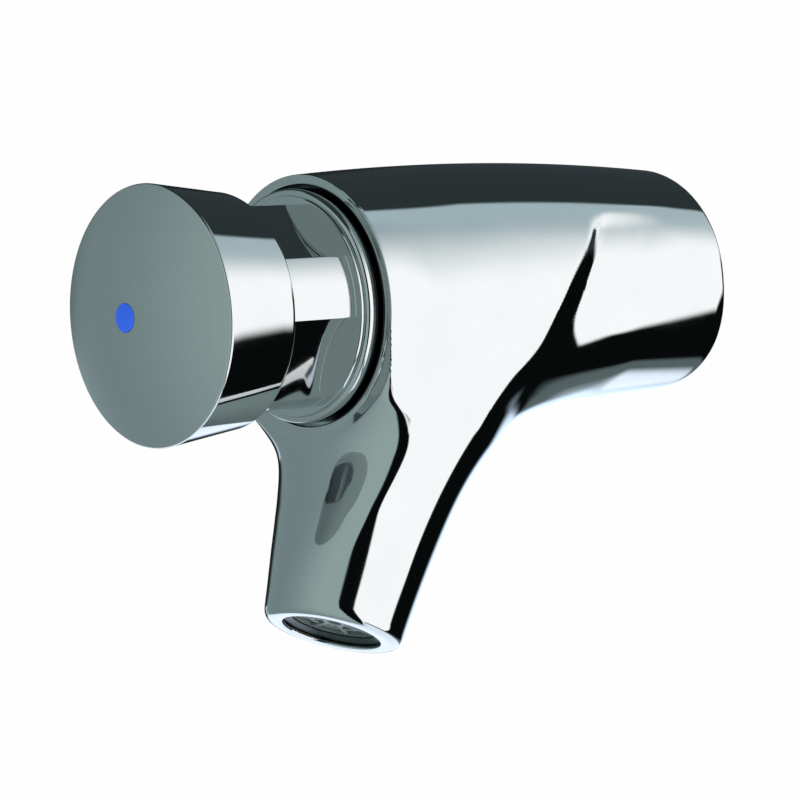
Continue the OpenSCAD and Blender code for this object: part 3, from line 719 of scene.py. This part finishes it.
# cap nut: flange with a rounded bead, neck with four long spanner flats
nutSet = {
    "flats": 4, "flatR": 16.0, "turn": 51.0, "foot": 0.45, "flangeFront": 90.3, "neckFront": 109.0,
    "millThick": 8.0, "millWide": 40.0, "turnSteps": 192,
    "profile": [
        (15.2, 73.2), (19.25, 73.2), (19.25, 86.0), (20.75, 86.0), (20.75, 88.25), (20.75, 88.7),
        (20.7, 89.1), (20.5, 89.5), (20.2, 89.75), (19.85, 89.85), (19.6, 89.8), (19.5, 89.95),
        (19.42, 90.2), (19.2, 90.3), (19.1, 90.3), (18.12, 90.3), (18.0, 90.42), (18.0, 90.8),
        (18.0, 108.0), (18.0, 108.2), (17.2, 109.0), (6.05, 109.0), (6.05, 105.0), (15.2, 105.0),
    ],
}


def buildNut():
    piece = spinProfile("neckNut", nutSet["profile"], nutSet["turnSteps"], True)
    low, high = nutSet["flangeFront"], nutSet["neckFront"] + 1
    thick = nutSet["millThick"]
    deselectAll()
    bpy.ops.mesh.primitive_cube_add(
        size=mm, scale=(thick, high - low, nutSet["millWide"]),
        location=((nutSet["flatR"] + thick / 2) * mm, -(low + high) / 2 * mm, 0))
    mill = bpy.context.object
    bpy.ops.object.transform_apply(location=True, rotation=True, scale=True)
    bpy.ops.object.mode_set(mode="EDIT")
    bpy.ops.mesh.select_all(action="DESELECT")
    block = bmesh.from_edit_mesh(mill.data)
    for edge in block.edges:
        near = [v.co.x < (nutSet["flatR"] + 0.1) * mm and v.co.y > -(low + 0.1) * mm for v in edge.verts]
        edge.select_set(all(near))
    bmesh.update_edit_mesh(mill.data)
    bpy.ops.mesh.bevel(offset=nutSet["foot"] * mm, segments=5, affect="EDGES")
    bpy.ops.object.mode_set(mode="OBJECT")
    for i in range(nutSet["flats"]):
        cutter = turnedCopy(mill, -math.radians(nutSet["turn"] + 360 / nutSet["flats"] * i))
        applyModifier(piece, "BOOLEAN", "flat", object=cutter, operation="DIFFERENCE", solver="EXACT")
        bpy.data.objects.remove(cutter)
    bpy.data.objects.remove(mill)
    return piece


neckNut = buildNut()
smoothByAngle(neckNut, 30, True)
# painted shade: the flange's wall in the groove takes the dark groove chrome
finishFaces(
    neckNut, chrome, groove,
    lambda h, r, z: grooveShadeSet["nutRear"] < h < grooveShadeSet["nutFront"] and r > grooveShadeSet["nutR"])
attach(neckNut, "tap_body")
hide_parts("cap_nut")
print("cap nut")


# domed marker let into the face
markerSet = {
    "turnSteps": 64,
    "profile": [
        (0, 125.4), (2.4, 125.4), (2.48, 125.5), (2.48, 126.34), (2.42, 126.43), (2.25, 126.5), (1.7, 126.58),
        (1.1, 126.63), (0.5, 126.65), (0, 126.66),
    ],
}
markerLens = spinProfile("markerLens", markerSet["profile"], markerSet["turnSteps"], False)
smoothByAngle(markerLens, 40)
markerLens.data.materials.append(finishes["moulded_blue_acrylic"])
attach(markerLens, "plunger")
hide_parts("colour_marker")
print("marker")


# a section wound round the axis; ring by ring it moves forward and may shrink towards its root
def windSection(name, points, turns, steps, forward, height, root):
    deselectAll()
    bpy.ops.mesh.primitive_circle_add(vertices=len(points), radius=mm, fill_type="NOTHING")
    piece = bpy.context.object
    piece.name = name
    for vert, (r, h) in zip(piece.data.vertices, points):
        vert.co = Vector((r, -h, 0)) * mm
    rings = round(turns * steps)
    applyModifier(
        piece, "SCREW", "wind", axis="Y", angle=2 * math.pi * turns, screw_offset=0.0, iterations=1,
        steps=rings, render_steps=rings)
    count = len(piece.data.vertices)
    spots = np.empty(count * 3)
    piece.data.vertices.foreach_get("co", spots)
    spots = spots.reshape(-1, 3)
    along = (np.arange(count) // len(points)) / rings
    far = np.hypot(spots[:, 0], spots[:, 2])
    shrunk = (root * mm + (far - root * mm) * height(along)) / far
    spots[:, 0] *= shrunk
    spots[:, 2] *= shrunk
    spots[:, 1] -= forward(along) * mm
    piece.data.vertices.foreach_set("co", spots.ravel())
    piece.data.update()
    pickOnly(piece)
    bpy.ops.object.mode_set(mode="EDIT")
    bpy.ops.mesh.select_all(action="SELECT")
    bpy.ops.mesh.fill_holes(sides=0)
    bpy.ops.mesh.select_all(action="SELECT")
    bpy.ops.mesh.normals_make_consistent(inside=False)
    bpy.ops.object.mode_set(mode="OBJECT")
    return piece


# return spring of round wire, its end coils closer
springSet = {
    "r": 11.0, "wireR": 0.8, "rear": 72.8, "front": 97.5, "stroke": 10.0, "turns": 6, "steps": 64, "sides": 14,
}


def buildSpring():
    w = springSet
    corners = [2 * math.pi * i / w["sides"] for i in range(w["sides"])]
    section = [(w["r"] + w["wireR"] * math.cos(a), w["wireR"] * math.sin(a)) for a in corners]
    lift = w["front"] - w["rear"] - 2 * w["wireR"]
    return windSection(
        "springWire", section, w["turns"], w["steps"],
        lambda t: w["rear"] + w["wireR"] + lift * step01(0, 1, t), lambda t: 1 + 0 * t, 0.0)


springWire = buildSpring()
smoothByAngle(springWire, 50)
springWire.data.materials.append(finishes["turned_stainless_steel"])
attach(springWire, "tap_body")
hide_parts("return_spring")
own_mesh(springWire)
print("return spring")


# pipe thread G 1/2 on the inlet tail: one ridge that runs out at both ends
threadSet = {
    "root": 9.2, "pitch": 1.814, "first": -13.6, "last": -2.2, "steps": 72, "fade": 0.08, "runOut": 0.15,
    "section": [(9.2, -0.78), (10.36, -0.19), (10.46, -0.08), (10.46, 0.08), (10.36, 0.19), (9.2, 0.78)],
}


def buildThread():
    w = threadSet
    turns = (w["last"] - w["first"]) / w["pitch"]
    return windSection(
        "tailThread", w["section"], turns, w["steps"],
        lambda t: w["first"] + w["pitch"] * turns * t,
        lambda t: w["runOut"] + (1 - w["runOut"]) * step01(0, w["fade"], t) * step01(1, 1 - w["fade"], t),
        w["root"])


tailThread = buildThread()
smoothByAngle(tailThread, 35)
tailThread.data.materials.append(chrome)
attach(tailThread, "tap_body")
print("tail thread")


# aerator in the outlet, heights up the spout from the outlet plane
aeratorSet = {
    "turnSteps": 96, "spokes": 8, "starLow": 2.0, "starHigh": 5.2, "starR": 8.55, "web": 0.8,
    "midR": 5.3, "midSink": 0.3, "hubR": 2.2, "hubBore": 1.2, "hubProud": 0.1,
    "spokeIn": 1.7, "spokeOut": 8.2, "spokeSink": 0.12, "spokeEdge": 0.14, "spokeTurn": 0.3,
    "cup": [
        (7.75, 1.7), (7.9, 1.5), (9.2, 0.84), (9.36, 0.8), (9.45, 0.9), (9.45, 8.85), (9.3, 9.0), (8.75, 9.0),
        (8.6, 8.85), (8.6, 2.0), (8.5, 1.95), (7.85, 1.95), (7.75, 1.85),
    ],
}


def toOutlet(piece):
    c = castingSet
    turn = Matrix.Rotation(-math.radians(90 + c["tilt"]), 4, "X")
    piece.data.transform(Matrix.Translation(Vector((0, -c["outletReach"], -c["outletDrop"])) * mm) @ turn)


def hoop(name, inner, outer, low, high, edge):
    return spinProfile(name, [
        (inner, low + edge), (inner + edge, low), (outer - edge, low), (outer, low + edge), (outer, high - edge),
        (outer - edge, high), (inner + edge, high), (inner, high - edge)], aeratorSet["turnSteps"], True)


def buildStar():
    a = aeratorSet
    low, high, web = a["starLow"], a["starHigh"], a["web"]
    sink, proud = a["midSink"], a["hubProud"]
    piece = hoop("aeratorStar", a["starR"] - web, a["starR"], low, high, 0.15)
    others = [
        hoop("midHoop", a["midR"] - web / 2, a["midR"] + web / 2, low + sink, high - sink, 0.15),
        hoop("hub", a["hubBore"], a["hubR"], low - proud, high - proud, 0.2),
    ]
    inner, outer = a["spokeIn"], a["spokeOut"]
    deselectAll()
    bpy.ops.mesh.primitive_cube_add(
        size=mm, scale=(outer - inner, high - low - 2 * a["spokeSink"], web),
        location=((inner + outer) / 2 * mm, -(low + high) / 2 * mm, 0))
    spoke = bpy.context.object
    bpy.ops.object.transform_apply(location=True, rotation=True, scale=True)
    bpy.ops.object.mode_set(mode="EDIT")
    bpy.ops.mesh.select_all(action="SELECT")
    bpy.ops.mesh.bevel(offset=a["spokeEdge"] * mm, segments=2, affect="EDGES")
    bpy.ops.object.mode_set(mode="OBJECT")
    others += [turnedCopy(spoke, 2 * math.pi * (i + a["spokeTurn"]) / a["spokes"]) for i in range(a["spokes"])]
    bpy.data.objects.remove(spoke)
    for other in others:
        applyModifier(piece, "BOOLEAN", "web", object=other, operation="UNION", solver="EXACT")
        bpy.data.objects.remove(other)
    return piece


aeratorStar = buildStar()
smoothByAngle(aeratorStar, 30)
toOutlet(aeratorStar)
aeratorStar.data.materials.append(finishes["moulded_grey_acetal"])
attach(aeratorStar, "tap_body")
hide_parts("aerator_star")

aeratorCup = spinProfile("aeratorCup", aeratorSet["cup"], aeratorSet["turnSteps"], True)
smoothByAngle(aeratorCup, 30, True)
toOutlet(aeratorCup)
aeratorCup.data.materials.append(finishes["dull_chromed_abs"])
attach(aeratorCup, "tap_body")
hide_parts("aerator_housing")
print("aerator")
